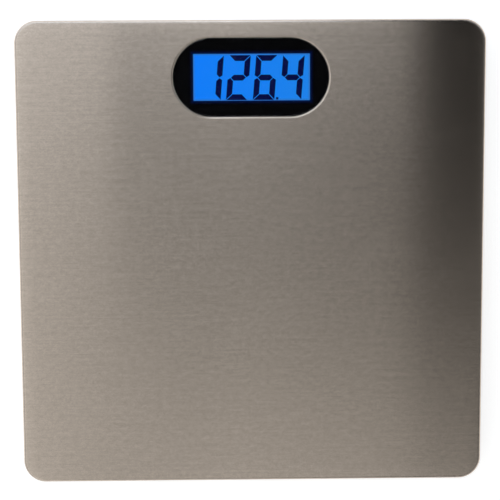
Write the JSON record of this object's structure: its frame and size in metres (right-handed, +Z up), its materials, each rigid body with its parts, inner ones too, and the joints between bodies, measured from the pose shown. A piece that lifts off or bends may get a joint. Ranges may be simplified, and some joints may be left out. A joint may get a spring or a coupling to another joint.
{
  "type": "digital bathroom scale",
  "caption": "Square low digital bathroom scale: brushed stainless platform with folded skirt, oval black display window with a blue backlit readout, ribbed plastic tray and load-cell feet.",
  "frame": {"origin": "on the floor under the centre of the square platform", "axes": "+X to the right when the display is read, +Y towards the display end, +Z up out of the platform"},
  "size_m": [0.3, 0.3, 0.024],
  "materials": {
    "brushed_cover": "sheet of stainless steel brushed from left to right, fine satin grain",
    "clear_lens": "clear acrylic, polished",
    "black_foam": "black closed-cell foam tape",
    "black_print": "black print on a thin clear film",
    "display_glass": "two bonded glasses with polarisers, lit blue from behind",
    "connector_rubber": "layered elastomer connector",
    "white_plastic": "white moulded plastic",
    "board_laminate": "green solder mask on glass-epoxy laminate",
    "black_epoxy": "cured black epoxy drop",
    "zinc_steel": "zinc-plated steel, satin",
    "black_plastic": "black moulded ABS with a fine texture",
    "grey_plastic": "dark grey moulded plastic",
    "foot_rubber": "black moulded rubber",
    "cell_nickel": "nickel-plated steel, bright",
    "spring_steel": "blanked and plated spring steel",
    "gauge_sealant": "white silicone sealant",
    "grey_lead": "grey sheath over three cores",
    "red_lead": "red single-core insulation",
    "black_lead": "black single-core insulation"
  },
  "bodies": {
    "platform": {"platform_cover": "brushed_cover", "display_lens": "clear_lens", "lens_gasket": "black_foam", "display_mask": "black_print", "lcd_panel": "display_glass", "zebra_strip": "connector_rubber", "backlight_guide": "white_plastic", "backlight_led_left": "white_plastic", "backlight_led_right": "white_plastic", "lcd_frame": "white_plastic", "main_board": "board_laminate", "controller_cap": "black_epoxy", "board_screw_left": "zinc_steel", "board_screw_right": "zinc_steel", "unit_switch": "black_plastic", "base_tray": "black_plastic", "coin_cell_left": "cell_nickel", "coin_cell_right": "cell_nickel", "battery_contact_plus": "cell_nickel", "battery_contact_minus": "cell_nickel", "battery_contact_bridge": "cell_nickel", "battery_lead_plus": "red_lead", "battery_lead_minus": "black_lead", "cover_standoff_front_left": "zinc_steel", "cover_screw_front_left": "zinc_steel", "load_cell_front_left": "spring_steel", "gauge_potting_front_left": "gauge_sealant", "foot_retainer_front_left": "black_plastic", "sensor_lead_front_left": "grey_lead", "cover_standoff_front_right": "zinc_steel", "cover_screw_front_right": "zinc_steel", "load_cell_front_right": "spring_steel", "gauge_potting_front_right": "gauge_sealant", "foot_retainer_front_right": "black_plastic", "sensor_lead_front_right": "grey_lead", "cover_standoff_back_left": "zinc_steel", "cover_screw_back_left": "zinc_steel", "load_cell_back_left": "spring_steel", "gauge_potting_back_left": "gauge_sealant", "foot_retainer_back_left": "black_plastic", "sensor_lead_back_left": "grey_lead", "cover_standoff_back_right": "zinc_steel", "cover_screw_back_right": "zinc_steel", "load_cell_back_right": "spring_steel", "gauge_potting_back_right": "gauge_sealant", "foot_retainer_back_right": "black_plastic", "sensor_lead_back_right": "grey_lead"},
    "battery_door": {"battery_door": "black_plastic"},
    "unit_button": {"unit_button": "grey_plastic", "switch_plunger": "black_plastic"},
    "foot_front_left": {"foot_cup_front_left": "grey_plastic", "foot_pad_front_left": "foot_rubber"},
    "foot_front_right": {"foot_cup_front_right": "grey_plastic", "foot_pad_front_right": "foot_rubber"},
    "foot_back_left": {"foot_cup_back_left": "grey_plastic", "foot_pad_back_left": "foot_rubber"},
    "foot_back_right": {"foot_cup_back_right": "grey_plastic", "foot_pad_back_right": "foot_rubber"}
  },
  "joints": [
    {"name": "foot_front_left_play", "type": "slide", "parent": "platform", "child": "foot_front_left", "axis": [0, 0, 1], "range_m": [-0.0007, 0]},
    {"name": "foot_front_right_play", "type": "slide", "parent": "platform", "child": "foot_front_right", "axis": [0, 0, 1], "range_m": [-0.0007, 0]},
    {"name": "foot_back_left_play", "type": "slide", "parent": "platform", "child": "foot_back_left", "axis": [0, 0, 1], "range_m": [-0.0007, 0]},
    {"name": "foot_back_right_play", "type": "slide", "parent": "platform", "child": "foot_back_right", "axis": [0, 0, 1], "range_m": [-0.0007, 0]},
    {"name": "battery_door_hinge", "type": "hinge", "parent": "platform", "child": "battery_door", "pos_m": [0, 0.02855, 0.00625], "axis": [-1, 0, 0], "range_deg": [0, 75]},
    {"name": "unit_button_press", "type": "slide", "parent": "platform", "child": "unit_button", "axis": [0, 0, 1], "range_m": [0, 0.0005], "stiffness_N_per_m": 4000}
  ]
}
